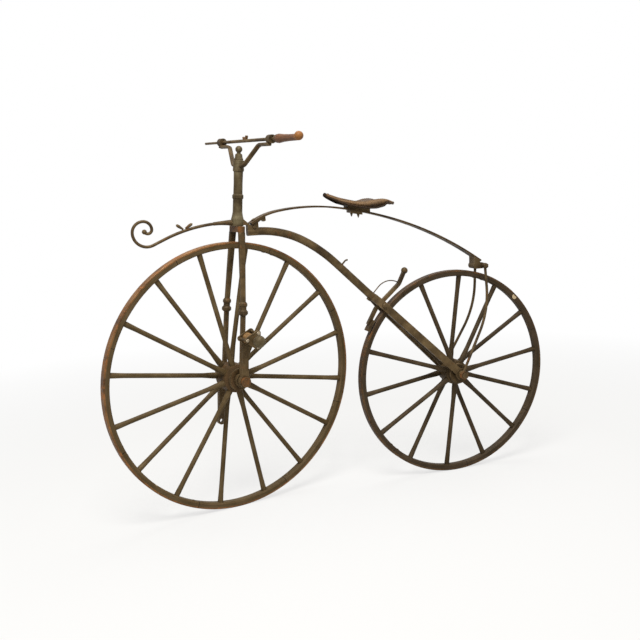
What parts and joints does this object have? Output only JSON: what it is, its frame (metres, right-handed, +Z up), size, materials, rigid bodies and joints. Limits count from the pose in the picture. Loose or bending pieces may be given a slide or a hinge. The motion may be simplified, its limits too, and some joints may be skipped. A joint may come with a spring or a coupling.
{
  "type": "velocipede",
  "caption": "Boneshaker velocipede with iron-tyred wooden wheels in line, a leaf-sprung leather saddle, front scroll and cranks on the steered front wheel.",
  "frame": {"origin": "the rider's place in the dip of the saddle, on the mount named rider", "axes": "+X forward, +Y to the rider's left, +Z up; the front wheel is stored turned to the left as in the picture"},
  "size_m": [1.6723, 0.6442, 1.2584],
  "materials": {
    "wrought_iron": "old brown patina with rust",
    "tyre_iron": "rusted, worn on the tread",
    "painted_wood": "worn brown paint",
    "turned_wood": "bare turned wood, dark with use",
    "brass": "dull, dirty",
    "leather": "dry, cracked"
  },
  "bodies": {
    "frame": {"head_socket": "wrought_iron", "backbone": "wrought_iron", "rear_fork_left": "wrought_iron", "rear_fork_right": "wrought_iron", "front_scroll": "wrought_iron", "saddle_spring": "wrought_iron", "spring_post": "wrought_iron", "rear_crossbar": "wrought_iron", "rear_shackle": "wrought_iron", "rear_stay_left": "wrought_iron", "rear_stay_right": "wrought_iron", "rear_axle": "wrought_iron", "rear_axle_nuts": "wrought_iron", "brake_lever": "wrought_iron", "brake_pivot": "wrought_iron", "brake_shoe": "wrought_iron", "brake_wire": "wrought_iron", "cord_peg": "wrought_iron", "saddle_leather": "leather", "saddle_block": "wrought_iron", "saddle_clamp": "wrought_iron"},
    "steering": {"fork_crown": "wrought_iron", "fork_leg_left": "wrought_iron", "fork_leg_right": "wrought_iron", "handlebar_yoke": "wrought_iron", "yoke_arm_left": "wrought_iron", "yoke_arm_right": "wrought_iron", "finial_nut": "wrought_iron", "handlebar": "wrought_iron", "handlebar_hook": "wrought_iron", "left_grip": "turned_wood"},
    "front_wheel": {"front_tyre": "tyre_iron", "front_felloe": "painted_wood", "front_spokes": "painted_wood", "front_nave": "painted_wood", "front_nave_bands": "wrought_iron", "front_axle": "wrought_iron", "front_axle_nuts": "wrought_iron", "crank_left": "wrought_iron", "crank_right": "wrought_iron", "left_pedal_pin": "wrought_iron", "left_pedal_knob": "wrought_iron"},
    "left_pedal": {"left_pedal_plates": "wrought_iron", "left_pedal_roll": "brass"},
    "rear_wheel": {"rear_tyre": "tyre_iron", "rear_felloe": "painted_wood", "rear_spokes": "painted_wood", "rear_nave": "painted_wood", "rear_nave_bands": "wrought_iron"}
  },
  "joints": [
    {"name": "steering", "type": "hinge", "parent": "frame", "child": "steering", "pos_m": [0.4805, 0, -0.563], "axis": [-0.0802, 0, 0.9968], "range_deg": [-46.4, 23.6]},
    {"name": "front_wheel_spin", "type": "hinge", "parent": "steering", "child": "front_wheel", "pos_m": [0.48491, 0.00089, -0.56301], "axis": [-0.197, 0.9803, -0.0159], "continuous": true},
    {"name": "left_pedal_spin", "type": "hinge", "parent": "front_wheel", "child": "left_pedal", "pos_m": [0.45643, 0.09138, -0.41683], "axis": [-0.197, 0.9803, -0.0159], "continuous": true},
    {"name": "rear_wheel_spin", "type": "hinge", "parent": "frame", "child": "rear_wheel", "pos_m": [-0.359, 0, -0.642], "axis": [0, 1, 0], "continuous": true}
  ]
}
